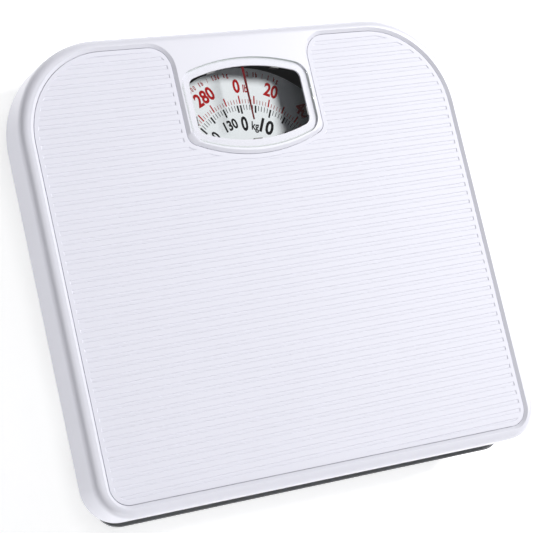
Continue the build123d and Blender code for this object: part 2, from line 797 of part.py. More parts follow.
# ================================================================ crank bracket and pivot pin
cheek_top = crank_height + crank_pin_radius + cheek_cap
cheek_left = crank_x - crank_bracket_gap - bracket_sheet
cheek_right = lug_x + crank_sheet + crank_slot_gap
with BuildPart() as crank_bracket:
    with BuildSketch(Plane.XY.offset(floor_top)):
        with Locations(((cheek_left + cheek_right + bracket_sheet) / 2, crank_y)):
            Rectangle(cheek_right + bracket_sheet - cheek_left, 2 * cheek_half_depth)
    extrude(amount=bracket_sheet)
    for cheek_x in (cheek_left, cheek_right):
        with BuildSketch(Plane.YZ.offset(cheek_x)):
            with Locations((crank_y, (cheek_top + floor_top) / 2)):
                Rectangle(2 * cheek_half_depth, cheek_top - floor_top)
            with Locations((crank_y, crank_height)):
                Circle(crank_pin_radius, mode=Mode.SUBTRACT)
        extrude(amount=bracket_sheet)

with BuildPart() as crank_pivot:
    with BuildSketch(Plane.YZ.offset(cheek_left)):
        with Locations((crank_y, crank_height)):
            Circle(crank_pin_radius)
    extrude(amount=cheek_right + bracket_sheet - cheek_left)

# ================================================================ pinion and rack
tooth_pitch = pi * gear_module
addendum = gear_module * tooth_depth_share
dedendum = addendum + root_clearance
half_thickness = tooth_pitch / 4 - gear_backlash / 2
base_circle = pinion_pitch_radius * cos(radians(pressure_angle))


def involute_point(radius, half_angle):
    """A point of a tooth's flank; half_angle is the tooth's half thickness on the pitch circle."""
    swing = sqrt((radius / base_circle) ** 2 - 1)
    pitch_swing = tan(radians(pressure_angle))
    roll = (swing - atan2(swing, 1)) - (pitch_swing - radians(pressure_angle))
    angle = half_angle - roll
    return (radius * cos(angle), radius * sin(angle))


root_radius = pinion_pitch_radius - dedendum
tip_radius = pinion_pitch_radius + addendum
flank_start = max(base_circle, root_radius)
tooth_half_angle = half_thickness / pinion_pitch_radius
flank_points = []
for step in range(flank_steps + 1):
    flank_radius = flank_start + (tip_radius - flank_start) * step / flank_steps
    flank_points.append(involute_point(flank_radius, tooth_half_angle))
mirrored_points = [(px, -py) for px, py in flank_points]
tooth_foot_x = root_radius - tooth_foot_depth

with BuildSketch() as pinion_tooth:
    with BuildLine():
        Line((tooth_foot_x, flank_points[0][1]), flank_points[0])
        Spline(*flank_points)
        Line(flank_points[-1], mirrored_points[-1])
        Spline(*mirrored_points)
        Line(mirrored_points[0], (tooth_foot_x, mirrored_points[0][1]))
        Line((tooth_foot_x, mirrored_points[0][1]), (tooth_foot_x, flank_points[0][1]))
    make_face()

gear_bottom = gear_height - gear_thickness / 2
with BuildPart() as pinion:
    with BuildSketch(Plane.XY.offset(gear_bottom)):
        with Locations((0, dial_y)):
            Circle(root_radius)
            with PolarLocations(0, pinion_teeth):
                add(pinion_tooth.sketch)
            Circle(shaft_radius, mode=Mode.SUBTRACT)
    extrude(amount=gear_thickness)

# At rest a pinion tooth points along +X, so the rack has a gap centred on the dial's axis.
rack_tooth_count = int((rack_travel + 2 * rack_end_margin) / tooth_pitch)
rack_front = dial_y - rack_travel - rack_end_margin
rack_pitch_x = pinion_pitch_radius
rack_root_x = rack_pitch_x + dedendum
rack_tail_y = up_end[0]
rack_bar_end = rack_tail_y - rack_tail_reach
flank_slope = tan(radians(pressure_angle))
rack_tip_half = half_thickness - addendum * flank_slope
rack_root_half = half_thickness + dedendum * flank_slope
tail_slot_half_height = crank_up_arm * (1 - cos(crank_half_angle)) / 2 + crank_pin_radius + crank_slot_gap
tail_centre_z = up_end[1] + crank_up_arm * (1 - cos(crank_half_angle)) / 2
tail_x = lug_x

with BuildSketch() as rack_tooth:
    with BuildLine():
        Polyline(
            (rack_root_x, -rack_root_half),
            (rack_pitch_x - addendum, -rack_tip_half),
            (rack_pitch_x - addendum, rack_tip_half),
            (rack_root_x, rack_root_half),
            close=True,
        )
    make_face()

with BuildPart() as rack:
    with BuildSketch(Plane.XY.offset(gear_bottom)):
        with Locations((rack_root_x + rack_width / 2, (rack_front + rack_bar_end) / 2)):
            Rectangle(rack_width, rack_bar_end - rack_front)
        for index in range(-rack_tooth_count, rack_tail_teeth):
            tooth_y = dial_y + (index + 0.5) * tooth_pitch
            if tooth_y - rack_root_half > rack_front:
                with Locations((0, tooth_y)):
                    add(rack_tooth.sketch)
    extrude(amount=gear_thickness)
    with BuildSketch(Plane.YZ.offset(tail_x)):
        with Locations((rack_tail_y, tail_centre_z)):
            RectangleRounded(
                2 * (crank_pin_radius + crank_slot_gap + lug_wall),
                2 * (tail_slot_half_height + lug_wall),
                lug_wall,
            )
        with Locations(((rack_bar_end + rack_tail_y) / 2, gear_height)):
            Rectangle(rack_tail_y - rack_bar_end, gear_thickness)
    extrude(amount=crank_sheet)
    with BuildSketch(Plane.YZ.offset(crank_x)):
        with Locations((rack_tail_y, tail_centre_z)):
            SlotOverall(2 * tail_slot_half_height, 2 * (crank_pin_radius + crank_slot_gap), rotation=90)
    extrude(amount=through * crank_sheet, mode=Mode.SUBTRACT)

# ================================================================ dial: shaft, hub and disc
shaft_bottom = gear_bottom - shaft_tail
with BuildPart() as dial_shaft:
    with BuildSketch(Plane.XY.offset(shaft_bottom)):
        with Locations((0, dial_y)):
            Circle(shaft_radius)
    extrude(amount=dial_height + dial_sheet + hub_height - shaft_bottom)

with BuildPart() as dial_disc:
    with BuildSketch(Plane.XY.offset(dial_height)):
        with Locations((0, dial_y)):
            Circle(dial_radius)
            Circle(shaft_radius, mode=Mode.SUBTRACT)
    extrude(amount=dial_sheet)

with BuildPart() as dial_hub:
    with BuildSketch(Plane.XY.offset(dial_height + dial_sheet)):
        with Locations((0, dial_y)):
            Circle(hub_radius)
            Circle(shaft_radius, mode=Mode.SUBTRACT)
    extrude(amount=hub_height)
    fillet(dial_hub.faces().sort_by(Axis.Z)[-1].outer_wire().edges(), hub_edge_radius)

# ================================================================ dial bridge, bush and screws
lower_web_top = gear_bottom - bridge_web_gap
with BuildPart() as dial_bridge:
    with BuildSketch(Plane.XZ.offset(-dial_y - bridge_half_depth)):
        with BuildLine():
            Polyline(
                (-bridge_half_width - bridge_foot, floor_top),
                (-bridge_half_width, floor_top),
                (-bridge_half_width, bridge_top - bridge_sheet),
                (bridge_half_width, bridge_top - bridge_sheet),
                (bridge_half_width, floor_top),
                (bridge_half_width + bridge_foot, floor_top),
                (bridge_half_width + bridge_foot, floor_top + bridge_sheet),
                (bridge_half_width + bridge_sheet, floor_top + bridge_sheet),
                (bridge_half_width + bridge_sheet, bridge_top),
                (-bridge_half_width - bridge_sheet, bridge_top),
                (-bridge_half_width - bridge_sheet, floor_top + bridge_sheet),
                (-bridge_half_width - bridge_foot, floor_top + bridge_sheet),
                close=True,
            )
        make_face()
    extrude(amount=2 * bridge_half_depth)
    with BuildSketch(Plane.XY.offset(lower_web_top)):
        with Locations((0, dial_y)):
            Rectangle(2 * bridge_half_width, bridge_half_depth)
    extrude(amount=-bridge_sheet)
    with Locations((0, dial_y, bridge_top)):
        Cylinder(bush_radius, through * bridge_sheet, mode=Mode.SUBTRACT)
    with Locations((0, dial_y, lower_web_top)):
        Cylinder(shaft_radius + shaft_running_gap, through * bridge_sheet, mode=Mode.SUBTRACT)

with BuildPart() as dial_bush:
    with BuildSketch(Plane.XY.offset(bridge_top - bridge_sheet)):
        with Locations((0, dial_y)):
            Circle(bush_radius)
            Circle(shaft_radius + shaft_running_gap, mode=Mode.SUBTRACT)
    extrude(amount=bridge_sheet)
    with BuildSketch(Plane.XY.offset(bridge_top)):
        with Locations((0, dial_y)):
            Circle(bush_radius + bush_flange)
            Circle(shaft_radius + shaft_running_gap, mode=Mode.SUBTRACT)
    extrude(amount=bush_flange)

bridge_screw_x = bridge_half_width + bridge_sheet + (bridge_foot - bridge_sheet) / 2
with BuildPart() as bridge_screws:
    with BuildSketch(Plane.XY.offset(floor_top + bridge_sheet)):
        with Locations((0, dial_y)):
            with GridLocations(2 * bridge_screw_x, bridge_half_depth, 2, 2):
                Circle(screw_head_radius)
    extrude(amount=screw_head_height)
    fillet(bridge_screws.faces().group_by(Axis.Z)[-1].edges(), screw_edge_radius)

# ================================================================ rack spring and its anchor
anchor_y = rack_front - rack_spring_length
rack_spring_x = rack_root_x + rack_width / 2
with BuildPart() as spring_anchor:
    with BuildSketch(Plane.XY.offset(floor_top)):
        with Locations((rack_spring_x, anchor_y - anchor_width / 2)):
            Rectangle(anchor_width, anchor_width)
    extrude(amount=bracket_sheet)
    with BuildSketch(Plane.XZ.offset(-anchor_y)):
        with Locations((rack_spring_x, (floor_top + gear_height + anchor_rise) / 2)):
            Rectangle(anchor_width, gear_height + anchor_rise - floor_top)
        with Locations((rack_spring_x, gear_height)):
            Circle(rack_spring_wire_radius, mode=Mode.SUBTRACT)
    extrude(amount=bracket_sheet)

rack_coil_height = rack_spring_length * rack_coil_share
rack_coil_start = anchor_y + (rack_spring_length - rack_coil_height) / 2
with BuildPart() as rack_spring:
    with Locations(Location((rack_spring_x, rack_coil_start, gear_height), (-90, 0, 0))):
        add(coil(rack_spring_mean_radius, rack_spring_wire_radius, rack_coil_pitch, rack_coil_height))
    with BuildSketch(Plane.XZ.offset(-anchor_y + bracket_sheet)):
        with Locations((rack_spring_x, gear_height)):
            Circle(rack_spring_wire_radius)
    extrude(amount=-(rack_coil_start - anchor_y + bracket_sheet))
    with BuildSketch(Plane.XZ.offset(-rack_coil_start - rack_coil_height)):
        with Locations((rack_spring_x, gear_height)):
            Circle(rack_spring_wire_radius)
    extrude(amount=-(rack_front - pin_running_gap - rack_coil_start - rack_coil_height))

# ================================================================ springs that hold the cover down
tie_x = cover_half_width - tie_x_inset
tie_top = recess_floor - cover_sheet - tie_hook_height
tie_bottom = floor_top + tie_hook_height
tie_length = tie_top - tie_bottom
tie_coil_height = tie_length * tie_coil_share
tie_coil_start = tie_bottom + (tie_length - tie_coil_height) / 2


def hook_tab(x, seat, direction):
    """A bent tab on a flat foot, with a hole for the spring's end."""
    with BuildPart() as tab:
        with BuildSketch(Plane.XY.offset(seat)):
            with Locations((x, 0)):
                Rectangle(tie_hook_width, 2 * tie_hook_width)
        extrude(amount=direction * tie_hook_sheet)
        with BuildSketch(Plane.XZ.offset(-tie_hook_width)):
            with Locations((x, seat + direction * tie_hook_height / 2)):
                Rectangle(tie_hook_width, tie_hook_height)
        extrude(amount=tie_hook_sheet)
        with BuildSketch(Plane.XY.offset(seat + direction * tie_hook_height)):
            with Locations((x, tie_hook_width / 2 - tie_hook_sheet / 2)):
                Rectangle(tie_hook_width, tie_hook_width + tie_hook_sheet)
            with Locations((x, 0)):
                Circle(tie_wire_radius + hook_hole_gap, mode=Mode.SUBTRACT)
        extrude(amount=-direction * tie_hook_sheet)
    return tab.part


tie_springs = {}
for name, side in (("left", -1), ("right", 1)):
    x = side * tie_x
    with BuildPart() as tie_spring:
        with Locations((x, 0, tie_coil_start)):
            add(coil(tie_mean_radius, tie_wire_radius, tie_pitch, tie_coil_height))
        with BuildSketch(Plane.XY.offset(tie_bottom - tie_hook_sheet)):
            with Locations((x, 0)):
                Circle(tie_wire_radius)
        extrude(amount=tie_coil_start - tie_bottom + tie_hook_sheet)
        with BuildSketch(Plane.XY.offset(tie_coil_start + tie_coil_height)):
            with Locations((x, 0)):
                Circle(tie_wire_radius)
        extrude(amount=tie_top + tie_hook_sheet - tie_coil_start - tie_coil_height)
    tie_springs["tie_spring_" + name] = tie_spring.part
    tie_springs["base_hook_" + name] = hook_tab(x, floor_top, 1)
    tie_springs["cover_hook_" + name] = hook_tab(x, recess_floor - cover_sheet, -1)

# ================================================================ labels and files
parts = {
    "platform_cover": platform_cover.part,
    "ribbed_mat": ribbed_mat.part,
    "lens": lens.part,
    "pointer": pointer.part,
    "lens_clips": lens_clips.part,
    "base_pan": base_pan.part,
    "foot_rivets": foot_rivets.part,
    "bracket_rivets": bracket_rivets.part,
    "zero_wheel": zero_wheel.part,
    "zero_shelf": zero_shelf.part,
    "spring_hanger": spring_hanger.part,
    "main_spring": main_spring.part,
    "nose_plate": nose_plate.part,
    "bell_crank": bell_crank.part,
    "crank_pins": crank_pins.part,
    "crank_bracket": crank_bracket.part,
    "crank_pivot": crank_pivot.part,
    "pinion": pinion.part,
    "rack": rack.part,
    "dial_shaft": dial_shaft.part,
    "dial_disc": dial_disc.part,
    "dial_hub": dial_hub.part,
    "dial_bridge": dial_bridge.part,
    "dial_bush": dial_bush.part,
    "bridge_screws": bridge_screws.part,
    "spring_anchor": spring_anchor.part,
    "rack_spring": rack_spring.part,
}
for corner in corner_signs:
    parts["foot_" + corner] = feet[corner]
    parts["fulcrum_bracket_" + corner] = fulcrum_brackets[corner]
    parts["load_bracket_" + corner] = load_brackets[corner]
parts.update(levers)
parts.update(tie_springs)

os.makedirs("parts", exist_ok=True)
for name, part in parts.items():
    part.label = name
    export_step(part, "parts/" + name + ".step")

print("dial axis y", dial_y, "crank y", crank_y, "spring y", spring_y, "wheel y", wheel_y)
print("nose travel", nose_travel, "crank half angle", degrees(crank_half_angle))
print("rack travel", rack_travel, "crank up arm", crank_up_arm)
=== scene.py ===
import json
from math import cos, pi, radians, sin

import bmesh
import bpy
from mathutils import Matrix, Vector


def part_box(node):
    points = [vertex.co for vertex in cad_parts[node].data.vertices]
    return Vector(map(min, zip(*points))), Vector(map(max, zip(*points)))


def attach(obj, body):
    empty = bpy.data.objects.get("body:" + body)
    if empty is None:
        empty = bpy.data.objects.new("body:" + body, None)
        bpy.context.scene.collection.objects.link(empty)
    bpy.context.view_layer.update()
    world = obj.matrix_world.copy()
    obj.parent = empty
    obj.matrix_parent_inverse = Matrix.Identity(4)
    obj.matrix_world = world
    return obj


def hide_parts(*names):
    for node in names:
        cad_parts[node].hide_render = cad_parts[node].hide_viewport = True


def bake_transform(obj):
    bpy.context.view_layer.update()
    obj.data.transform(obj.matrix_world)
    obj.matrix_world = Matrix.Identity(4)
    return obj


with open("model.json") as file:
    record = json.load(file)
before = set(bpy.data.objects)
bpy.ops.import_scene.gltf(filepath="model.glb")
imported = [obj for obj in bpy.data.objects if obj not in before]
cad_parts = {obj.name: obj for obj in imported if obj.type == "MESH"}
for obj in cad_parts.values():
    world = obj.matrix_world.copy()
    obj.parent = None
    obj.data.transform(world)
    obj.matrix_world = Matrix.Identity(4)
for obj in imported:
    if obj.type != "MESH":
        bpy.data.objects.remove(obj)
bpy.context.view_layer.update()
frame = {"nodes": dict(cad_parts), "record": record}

# Looks of the dial platform scale: finishes, lens, index, printed dial, springs, lights and camera.
# Everything is in metres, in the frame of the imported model.

MM = 0.001
SAME_POINT = 0.001 * MM
CREASE = radians(30)


def middle(node):
    low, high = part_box(node)
    return (low + high) / 2


# ---------------------------------------------------------------- shader writing
class Wire:
    """A socket that carries a value; arithmetic on it adds Math nodes."""

    def __init__(self, finish, socket):
        self.finish = finish
        self.socket = socket

    def join(self, operation, other, flipped=False):
        first, second = (other, self) if flipped else (self, other)
        return self.finish.node("Math", {"operation": operation}, {0: first, 1: second})

    def __add__(self, other):
        return self.join("ADD", other)

    def __sub__(self, other):
        return self.join("SUBTRACT", other)

    def __rsub__(self, other):
        return self.join("SUBTRACT", other, flipped=True)

    def __mul__(self, other):
        return self.join("MULTIPLY", other)

    def __pow__(self, other):
        return self.join("POWER", other)

    __radd__ = __add__
    __rmul__ = __mul__


class Finish:
    """One surface finish: a Principled shader and the nodes that vary it."""

    def __init__(self, name, color, roughness, metallic=0.0, **constants):
        self.material = bpy.data.materials.new(name)
        self.material.use_nodes = True
        self.tree = self.material.node_tree
        self.shader = self.tree.nodes["Principled BSDF"]
        self.set("Base Color", (*color, 1.0))
        self.set("Roughness", roughness)
        self.set("Metallic", metallic)
        for socket, value in constants.items():
            self.set(socket.replace("_", " "), value)
        self.place = self.node("TexCoord", {}, {}, "Object")

    def set(self, socket, value):
        """Puts a constant on the shader's own socket, or links a wire to it."""
        if isinstance(value, Wire):
            self.tree.links.new(value.socket, self.shader.inputs[socket])
        else:
            self.shader.inputs[socket].default_value = value

    def node(self, kind, settings, inputs, output=0):
        """Adds a node; settings come first, then the values or wires of its inputs."""
        made = self.tree.nodes.new("ShaderNode" + kind)
        for key, value in settings.items():
            setattr(made, key, value)
        for key, value in inputs.items():
            if isinstance(value, Wire):
                self.tree.links.new(value.socket, made.inputs[key])
            else:
                made.inputs[key].default_value = value
        return Wire(self, made.outputs[output])

    def axis(self, vector, letter):
        """One coordinate of a vector."""
        return self.node("SeparateXYZ", {}, {"Vector": vector}, letter)

    def noise(self, per_metre, detail=3.0, stretch=None):
        """Noise from 0 to 1, with about per_metre cells in a metre, drawn out along the axes in stretch."""
        place = self.place
        if stretch:
            place = self.node("Mapping", {}, {"Vector": place, "Scale": stretch})
        return self.node("TexNoise", {}, {"Vector": place, "Scale": per_metre, "Detail": detail})

    def between(self, value, low, high):
        """0 below low, 1 above high, smooth between them."""
        settings = {"interpolation_type": "SMOOTHSTEP"}
        return self.node("MapRange", settings, {"Value": value, "From Min": low, "From Max": high})

    def tint(self, factor, first, second):
        """A colour that goes from first to second as factor goes from 0 to 1."""
        first, second = (end if isinstance(end, Wire) else (*end, 1.0) for end in (first, second))
        return self.node("Mix", {"data_type": "RGBA"}, {0: factor, 6: first, 7: second}, 2)

    def bump(self, height, distance, strength):
        """Raises the surface by distance, in metres, where height is 1."""
        inputs = {"Height": height, "Distance": distance, "Strength": strength}
        self.set("Normal", self.node("Bump", {}, inputs))


def shade(color, factor):
    return tuple(channel * factor for channel in color)


# ---------------------------------------------------------------- finishes
def enamel(name, color, roughness, underside=None):
    """Baked enamel: a fine orange-peel skin, a faint drift in tone, and, where underside is given, painted
    shade: faces turned down go near-black, standing in for the dark inside of the case.
    """
    finish = Finish(name, color, roughness, IOR=1.5)
    drift = finish.noise(per_metre=14.0)
    peel = finish.noise(per_metre=700.0, detail=2.0)
    coat = finish.tint(drift, shade(color, 0.975), color)
    if underside:
        # Painted shade: faces turned down take the near-black underside colour, which darkens the inside of
        # the case as shade would.
        facing = finish.node("NewGeometry", {}, {}, "Normal")
        painted_shade_below = finish.between(finish.axis(facing, "Z") * -1.0, low=0.5, high=0.8)
        coat = finish.tint(painted_shade_below, coat, underside)
    finish.set("Base Color", coat)
    finish.set("Roughness", roughness - 0.04 + drift * 0.08)
    finish.bump(peel, distance=0.02 * MM, strength=0.6)
    return finish.material


def vinyl(name, color):
    """Matt moulded vinyl with a fine grain and a slight dulling in patches."""
    finish = Finish(name, color, roughness=0.5, IOR=1.46)
    grain = finish.noise(per_metre=2600.0, detail=4.0)
    drift = finish.noise(per_metre=22.0, detail=5.0)
    finish.set("Base Color", finish.tint(drift, shade(color, 0.97), color))
    finish.set("Roughness", 0.46 + grain * 0.12)
    finish.bump(grain, distance=0.035 * MM, strength=0.7)
    return finish.material


def plated(name, color, roughness):
    """Zinc-plated steel: fine rolling lines along X and a cloudy spangle."""
    finish = Finish(name, color, roughness, metallic=1.0)
    lines = finish.noise(per_metre=600.0, stretch=(1.0, 12.0, 12.0))
    cloud = finish.noise(per_metre=90.0, detail=4.0)
    finish.set("Base Color", finish.tint(cloud, shade(color, 0.82), color))
    finish.set("Roughness", roughness - 0.08 + lines * 0.14 + cloud * 0.06)
    finish.bump(lines, distance=0.01 * MM, strength=0.5)
    return finish.material


def drawn_wire(name, color):
    """Drawn or turned metal with a light oil film."""
    finish = Finish(name, color, roughness=0.28, metallic=1.0)
    film = finish.noise(per_metre=160.0)
    finish.set("Base Color", finish.tint(film, shade(color, 0.85), color))
    finish.set("Roughness", 0.2 + film * 0.2)
    finish.bump(finish.noise(per_metre=1800.0, detail=2.0), distance=0.006 * MM, strength=0.5)
    return finish.material


def moulded(name, color, roughness):
    """Moulded plastic or rubber with a spark-eroded texture."""
    finish = Finish(name, color, roughness)
    grain = finish.noise(per_metre=1500.0)
    drift = finish.noise(per_metre=60.0)
    finish.set("Base Color", finish.tint(drift, shade(color, 0.8), shade(color, 1.15)))
    finish.set("Roughness", roughness - 0.06 + grain * 0.12)
    finish.bump(grain, distance=0.03 * MM, strength=0.6)
    return finish.material


LENS_FLANGE = 4.5 * MM
LENS_RIM = 1.2 * MM
REAR_ARC = 104.6 * MM
FRONT_ARC = 91.7 * MM


def clear_lens(name):
    """Polished clear plastic: see-through over the window, paler on its flange and green at its rim."""
    finish = Finish(name, (0.93, 0.97, 0.95), roughness=0.05, IOR=1.49)
    low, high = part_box("lens")
    half_window = high.x - LENS_FLANGE
    rear_centre = high.y - LENS_FLANGE - REAR_ARC
    front_centre = low.y + LENS_FLANGE + FRONT_ARC
    across = finish.axis(finish.place, "X")
    along = finish.axis(finish.place, "Y")
    side = finish.node("Math", {"operation": "ABSOLUTE"}, {0: across}) - half_window
    rear = (across * across + (along - rear_centre) ** 2) ** 0.5 - REAR_ARC
    front = (across * across + (along - front_centre) ** 2) ** 0.5 - FRONT_ARC
    outside = side.join("MAXIMUM", rear).join("MAXIMUM", front)
    flange = finish.between(outside, low=-0.3 * MM, high=0.2 * MM)
    rim = finish.between(outside, low=LENS_FLANGE - LENS_RIM, high=LENS_FLANGE)
    finish.set("Base Color", finish.tint(rim, (0.95, 0.96, 0.97), (0.62, 0.74, 0.60)))
    finish.set("Alpha", 0.006 + flange * 0.03 + rim * 0.22)
    finish.bump(finish.noise(per_metre=40.0, detail=2.0), distance=0.01 * MM, strength=0.4)
    return finish.material


def ink(name, color):
    """Matt screen-printed ink with a slightly uneven film."""
    finish = Finish(name, color, roughness=0.85, Specular_IOR_Level=0.15)
    film = finish.noise(per_metre=900.0)
    finish.set("Base Color", finish.tint(film, shade(color, 0.85), color))
    finish.set("Roughness", 0.8 + film * 0.12)
    return finish.material


lens_plastic = clear_lens("lens_plastic")
index_red = ink("index_red", (0.17, 0.004, 0.008))
spring_wire = drawn_wire("spring_wire", (0.36, 0.36, 0.38))
scale_red = ink("scale_red", (0.52, 0.008, 0.010))
scale_red_thin = ink("scale_red_thin", (0.45, 0.02, 0.025))
scale_black = ink("scale_black", (0.008, 0.008, 0.010))
scale_black_thin = ink("scale_black_thin", (0.015, 0.015, 0.018))

finishes = {
    # The cover's underside colour is painted shade: near-black on faces turned down, to keep the inside of
    # the case dark.
    "cover_white": enamel("white_enamel", (0.76, 0.76, 0.83), 0.34, underside=(0.05, 0.05, 0.055)),
    "mat_white": vinyl("mat_vinyl", (0.75, 0.75, 0.83)),
    "lens_clear": lens_plastic,
    "pointer_red": index_red,
    "clip_grey": plated("clip_metal", (0.13, 0.13, 0.13), 0.45),
    "pan_grey": enamel("pan_enamel", (0.30, 0.305, 0.315), 0.4),
    "zinc": plated("zinc_plate", (0.55, 0.56, 0.58), 0.36),
    "lever_steel": plated("lever_plate", (0.46, 0.47, 0.49), 0.4),
    "spring_steel": spring_wire,
    "wheel_black": moulded("wheel_plastic", (0.03, 0.03, 0.034), 0.5),
    "brass": drawn_wire("brass_metal", (0.62, 0.42, 0.16)),
    "dial_white": enamel("dial_enamel", (0.93, 0.98, 1.0), 0.6),
    "foot_rubber": moulded("foot_rubber", (0.035, 0.035, 0.036), 0.75),
}


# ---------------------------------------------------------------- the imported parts
def soften(node):
    """Smooth shading over the gentle folds of a part, with its corners kept crisp."""
    node.data.shade_smooth()
    node.modifiers.new("joined_faces", "WELD").merge_threshold = SAME_POINT
    node.modifiers.new("crisp_corners", "EDGE_SPLIT").split_angle = CREASE
    weighted = node.modifiers.new("flat_lands", "WEIGHTED_NORMAL")
    weighted.mode = "FACE_AREA"
    weighted.keep_sharp = True


for entry in frame["record"]["subparts"]:
    part = frame["nodes"][entry["node"]]
    part.data.materials.clear()
    part.data.materials.append(finishes[entry["material_slot"]])
    soften(part)


def finish_piece(name, shape, material, body):
    """Turns a bmesh into an object that rides on a body; a spring is given no body."""
    mesh = bpy.data.meshes.new(name)
    shape.to_mesh(mesh)
    shape.free()
    mesh.materials.append(material)
    piece = bpy.data.objects.new(name, mesh)
    bpy.context.scene.collection.objects.link(piece)
    if body:
        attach(piece, body)
    return piece


# ---------------------------------------------------------------- lens
LENS_LIFT = 0.05 * MM
UNDERSIDE_DEPTH = 0.1 * MM


def mould_lens():
    """The clear lens, its underside a hair above the seat so that light meets one surface at a time."""
    shape = bmesh.new()
    shape.from_mesh(frame["nodes"]["lens"].data)
    bmesh.ops.remove_doubles(shape, verts=shape.verts, dist=SAME_POINT)
    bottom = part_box("lens")[0].z
    underside = [vertex for vertex in shape.verts if vertex.co.z < bottom + UNDERSIDE_DEPTH]
    bmesh.ops.translate(shape, verts=underside, vec=(0, 0, LENS_LIFT))
    lens = finish_piece("moulded_lens", shape, lens_plastic, "platform")
    lens.data.shade_smooth()
    lens.modifiers.new("crisp_corners", "EDGE_SPLIT").split_angle = CREASE
    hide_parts("lens")


# ---------------------------------------------------------------- index line
INDEX_FOOT = 1.4 * MM
INDEX_TIP = 0.8 * MM


def cut_index():
    """The red index under the lens: a thin strip that narrows from the window's rear edge to its tip."""
    low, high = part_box("pointer")
    shape = bmesh.new()
    size = Matrix.Diagonal((INDEX_FOOT, high.y - low.y, high.z - low.z, 1))
    bmesh.ops.create_cube(shape, size=1.0, matrix=Matrix.Translation((low + high) / 2) @ size)
    tip = [vertex for vertex in shape.verts if vertex.co.y < middle("pointer").y]
    narrowed = Matrix.Diagonal((INDEX_TIP / INDEX_FOOT, 1, 1, 1))
    bmesh.ops.transform(shape, matrix=narrowed, verts=tip)
    bmesh.ops.bevel(
        shape,
        geom=[edge for edge in shape.edges if edge.calc_length() < INDEX_FOOT / 2],
        offset=INDEX_TIP / 4,
        segments=3,
        profile=0.5,
        affect="EDGES",
        material=-1,
    )
    index = finish_piece("index_line", shape, index_red, "platform")
    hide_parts("pointer")


mould_lens()
cut_index()

# ---------------------------------------------------------------- printed dial
LAST_POUND = 300
LAST_KILO = 136
POUNDS_PER_KILO = 2.20462
POUND_TURN = radians(360 / LAST_POUND)
KILO_TURN = POUND_TURN * POUNDS_PER_KILO
PRINT_THICKNESS = 0.06 * MM
NUMERAL_WEIGHT = 0.034
UNIT_WEIGHT = 0.025
RIM_WEIGHT = 0.03
NARROW_LETTERS = "1l/"
NARROW_SHARE = 0.28
WIDE_SHARE = 0.66
dial_centre = middle("dial_disc")
dial_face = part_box("dial_disc")[1].z


def on_dial(turn, radius):
    """The frame of a printed mark: its Y points outwards, turn is clockwise from the index line."""
    place = Matrix.Translation((dial_centre.x, dial_centre.y, dial_face))
    return place @ Matrix.Rotation(-turn, 4, "Z") @ Matrix.Translation((0, radius, 0))


def print_tick(shape, turn, inner, outer, width):
    """One radial line of the scale, as a thin film of ink."""
    size = Matrix.Diagonal((width, outer - inner, PRINT_THICKNESS, 1))
    bmesh.ops.create_cube(shape, size=1.0, matrix=on_dial(turn, (inner + outer) / 2) @ size)


def cut_lettering(text, weight):
    """The outline of a short text as a flat solid one unit thick."""
    curve = bpy.data.curves.new("lettering", "FONT")
    curve.body = text
    curve.resolution_u = 3
    curve.offset = weight
    curve.extrude = 0.5
    letters = bpy.data.objects.new("lettering", curve)
    mesh = bpy.data.meshes.new_from_object(letters)
    bpy.data.objects.remove(letters)
    bpy.data.curves.remove(curve)
    return mesh


def span(mesh, axis):
    values = [vertex.co[axis] for vertex in mesh.vertices]
    return min(values), max(values)


zero_low, zero_high = span(cut_lettering("0", 0.0), 1)
CAP_HEIGHT = zero_high - zero_low


def print_text(shape, text, turn, foot, height, width, weight):
    """Prints a text square to the dial's radius, with its foot at radius foot, squeezed to a width."""
    mesh = cut_lettering(text, weight)
    left, right = span(mesh, 0)
    scale = Matrix.Diagonal((width / (right - left), height / CAP_HEIGHT, PRINT_THICKNESS, 1))
    centre = Matrix.Translation((-(left + right) / 2, -zero_low, 0))
    mesh.transform(on_dial(turn, foot) @ scale @ centre)
    shape.from_mesh(mesh)
    bpy.data.meshes.remove(mesh)


def print_numeral(shape, number, turn, foot, height, digit_width):
    digits = str(number)
    print_text(shape, digits, turn, foot, height, digit_width * len(digits), NUMERAL_WEIGHT)


def print_along_rim(shape, text, turn):
    """Prints a text one letter at a time along the dial's rim, with its middle at turn."""
    foot, height, advance = 56.4 * MM, 2.6 * MM, 1.8 * MM
    for index, letter in enumerate(text):
        if letter != " ":
            along = (index - (len(text) - 1) / 2) * advance / foot
            width = advance * (NARROW_SHARE if letter in NARROW_LETTERS else WIDE_SHARE)
            print_text(shape, letter, turn + along, foot, height, width, RIM_WEIGHT)


def print_pounds():
    """The outer scale: a line every two pounds, a long one every ten and a numeral every twenty."""
    line_foot, line_top, ten_top = 40.9 * MM, 43.3 * MM, 45.4 * MM
    line_width, ten_width = 0.32 * MM, 0.8 * MM
    numeral_foot, numeral_height, digit_width = 47.2 * MM, 7.2 * MM, 4.2 * MM
    unit_turn, unit_height, unit_width = radians(6.0), 4.2 * MM, 3.0 * MM
    fine, bold = bmesh.new(), bmesh.new()
    for pound in range(0, LAST_POUND, 2):
        if pound % 10:
            print_tick(fine, pound * POUND_TURN, line_foot, line_top, line_width)
        else:
            print_tick(bold, pound * POUND_TURN, line_foot, ten_top, ten_width)
    for pound in range(0, LAST_POUND, 20):
        print_numeral(bold, pound, pound * POUND_TURN, numeral_foot, numeral_height, digit_width)
    print_text(fine, "lb", unit_turn, numeral_foot, unit_height, unit_width, UNIT_WEIGHT)
    print_along_rim(fine, "300 lb / 136 kg", radians(-17.0))
    print_along_rim(fine, "2 lb / 1 kg", radians(17.5))
    finish_piece("pound_lines", fine, scale_red_thin, "dial")
    finish_piece("pound_numerals", bold, scale_red, "dial")


